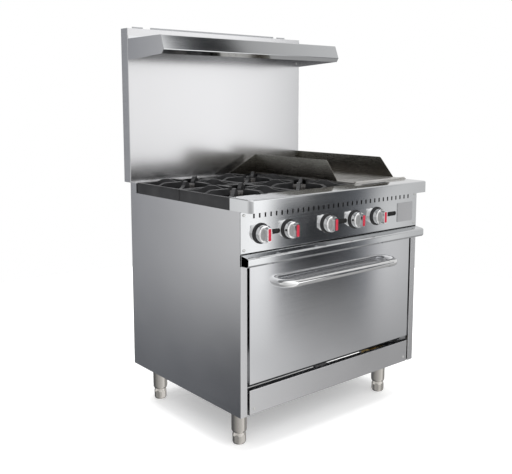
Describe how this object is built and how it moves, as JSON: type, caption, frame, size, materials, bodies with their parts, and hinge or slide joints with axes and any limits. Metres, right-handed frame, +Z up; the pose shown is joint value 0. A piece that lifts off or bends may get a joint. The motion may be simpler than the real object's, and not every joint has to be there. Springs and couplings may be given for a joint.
{
  "type": "commercial gas range",
  "caption": "Free-standing commercial gas range with open burners under cast grates, a griddle with side guards, an oven, a backsplash with a high shelf and adjustable legs.",
  "frame": {"origin": "on the floor, under the middle of the overall box from door handle to flue back", "axes": "+X to the range's right as seen from the front, +Y to the rear, +Z up"},
  "size_m": [0.9144, 0.8124, 1.509],
  "materials": {
    "satin_stainless": "satin brushed",
    "polished_stainless": "fine brushed, nearly polished",
    "door_stainless": "satin brushed",
    "guard_steel": "satin, heat-toned",
    "ground_steel": "ground flat",
    "leg_steel": "satin",
    "galvanised": "galvanised sheet",
    "aluminised": "aluminised tube",
    "grey_casting": "as cast",
    "black_iron": "matte black",
    "burner_iron": "as cast, heat-darkened",
    "black_pipe": "black steel pipe",
    "enamel": "speckled porcelain enamel",
    "polished_chrome": "polished",
    "rack_wire": "nickel-chrome plated wire",
    "bright_screws": "bright zinc",
    "black_plastic": "matte black",
    "brass": "machined brass",
    "woven_seal": "woven glass-fibre rope"
  },
  "bodies": {
    "range_body": {"backsplash": "satin_stainless", "backsplash_cover": "galvanised", "badge_plate": "satin_stainless", "base_frame": "galvanised", "burner_valves": "brass", "burner_venturis": "grey_casting", "control_panel": "polished_stainless", "door_gasket": "woven_seal", "front_ledge": "polished_stainless", "gas_manifold": "black_pipe", "grease_gutter": "galvanised", "griddle_burner": "aluminised", "griddle_guard_left": "guard_steel", "griddle_guard_right": "guard_steel", "griddle_plate": "ground_steel", "high_shelf": "polished_stainless", "hinge_brackets": "galvanised", "kick_panel": "satin_stainless", "knob_bezels": "black_plastic", "legs": "leg_steel", "oven_burner": "aluminised", "oven_deck": "enamel", "oven_liner": "enamel", "oven_valve": "brass", "rack_guides": "rack_wire", "rear_panel": "galvanised", "rear_rail": "satin_stainless", "screws": "bright_screws", "shelf_brackets": "satin_stainless", "side_panel_left": "satin_stainless", "side_panel_right": "satin_stainless", "splash_posts": "galvanised", "top_frame": "galvanised", "tray_deck": "galvanised"},
    "oven_door": {"door_skin": "door_stainless", "door_liner": "enamel", "handle_elbows": "polished_chrome", "handle_bar": "polished_chrome", "door_hinge_arms": "galvanised"},
    "crumb_tray_left": {"crumb_tray_left": "polished_stainless"},
    "crumb_tray_right": {"crumb_tray_right": "polished_stainless"},
    "oven_rack_lower": {"oven_rack_lower": "rack_wire"},
    "oven_rack_upper": {"oven_rack_upper": "rack_wire"},
    "knob_1": {"knob_1": "polished_chrome"},
    "knob_2": {"knob_2": "polished_chrome"},
    "knob_3": {"knob_3": "polished_chrome"},
    "knob_4": {"knob_4": "polished_chrome"},
    "knob_5": {"knob_5": "polished_chrome"},
    "grate_front_left": {"grate_front_left": "black_iron"},
    "burner_head_front_left": {"burner_head_front_left": "burner_iron"},
    "foot_front_left": {"foot_front_left": "leg_steel"},
    "grate_front_right": {"grate_front_right": "black_iron"},
    "burner_head_front_right": {"burner_head_front_right": "burner_iron"},
    "foot_front_right": {"foot_front_right": "leg_steel"},
    "grate_rear_left": {"grate_rear_left": "black_iron"},
    "burner_head_rear_left": {"burner_head_rear_left": "burner_iron"},
    "foot_rear_left": {"foot_rear_left": "leg_steel"},
    "grate_rear_right": {"grate_rear_right": "black_iron"},
    "burner_head_rear_right": {"burner_head_rear_right": "burner_iron"},
    "foot_rear_right": {"foot_rear_right": "leg_steel"}
  },
  "joints": [
    {"name": "oven_door_hinge", "type": "hinge", "parent": "range_body", "child": "oven_door", "pos_m": [0, -0.32175, 0.268], "axis": [1, 0, 0], "range_deg": [0, 90], "stiffness_Nm_per_rad": 8, "springref_deg": -37.24},
    {"name": "knob_1_turn", "type": "hinge", "parent": "range_body", "child": "knob_1", "pos_m": [-0.369, -0.36575, 0.779], "axis": [0, -1, 0], "range_deg": [0, 90]},
    {"name": "knob_2_turn", "type": "hinge", "parent": "range_body", "child": "knob_2", "pos_m": [-0.242, -0.36575, 0.779], "axis": [0, -1, 0], "range_deg": [0, 90]},
    {"name": "knob_3_turn", "type": "hinge", "parent": "range_body", "child": "knob_3", "pos_m": [-0.053, -0.36575, 0.779], "axis": [0, -1, 0], "range_deg": [0, 90]},
    {"name": "knob_4_turn", "type": "hinge", "parent": "range_body", "child": "knob_4", "pos_m": [0.091, -0.36575, 0.779], "axis": [0, -1, 0], "range_deg": [0, 90]},
    {"name": "knob_5_turn", "type": "hinge", "parent": "range_body", "child": "knob_5", "pos_m": [0.213, -0.36575, 0.779], "axis": [0, -1, 0], "range_deg": [0, 90]},
    {"name": "crumb_tray_left_slide", "type": "slide", "parent": "range_body", "child": "crumb_tray_left", "axis": [0, -1, 0], "range_m": [0, 0.5]},
    {"name": "crumb_tray_right_slide", "type": "slide", "parent": "range_body", "child": "crumb_tray_right", "axis": [0, -1, 0], "range_m": [0, 0.5]},
    {"name": "oven_rack_lower_slide", "type": "slide", "parent": "range_body", "child": "oven_rack_lower", "axis": [0, -1, 0], "range_m": [0, 0.025]},
    {"name": "oven_rack_upper_slide", "type": "slide", "parent": "range_body", "child": "oven_rack_upper", "axis": [0, -1, 0], "range_m": [0, 0.025]},
    {"name": "grate_front_left_lift", "type": "slide", "parent": "range_body", "child": "grate_front_left", "axis": [0, 0, 1], "range_m": [0, 0.12]},
    {"name": "burner_head_front_left_lift", "type": "slide", "parent": "range_body", "child": "burner_head_front_left", "axis": [0, 0, 1], "range_m": [0, 0.1]},
    {"name": "foot_front_left_screw", "type": "slide", "parent": "range_body", "child": "foot_front_left", "axis": [0, 0, -1], "range_m": [0, 0.025]},
    {"name": "grate_front_right_lift", "type": "slide", "parent": "range_body", "child": "grate_front_right", "axis": [0, 0, 1], "range_m": [0, 0.12]},
    {"name": "burner_head_front_right_lift", "type": "slide", "parent": "range_body", "child": "burner_head_front_right", "axis": [0, 0, 1], "range_m": [0, 0.1]},
    {"name": "foot_front_right_screw", "type": "slide", "parent": "range_body", "child": "foot_front_right", "axis": [0, 0, -1], "range_m": [0, 0.025]},
    {"name": "grate_rear_left_lift", "type": "slide", "parent": "range_body", "child": "grate_rear_left", "axis": [0, 0, 1], "range_m": [0, 0.12]},
    {"name": "burner_head_rear_left_lift", "type": "slide", "parent": "range_body", "child": "burner_head_rear_left", "axis": [0, 0, 1], "range_m": [0, 0.1]},
    {"name": "foot_rear_left_screw", "type": "slide", "parent": "range_body", "child": "foot_rear_left", "axis": [0, 0, -1], "range_m": [0, 0.025]},
    {"name": "grate_rear_right_lift", "type": "slide", "parent": "range_body", "child": "grate_rear_right", "axis": [0, 0, 1], "range_m": [0, 0.12]},
    {"name": "burner_head_rear_right_lift", "type": "slide", "parent": "range_body", "child": "burner_head_rear_right", "axis": [0, 0, 1], "range_m": [0, 0.1]},
    {"name": "foot_rear_right_screw", "type": "slide", "parent": "range_body", "child": "foot_rear_right", "axis": [0, 0, -1], "range_m": [0, 0.025]}
  ]
}
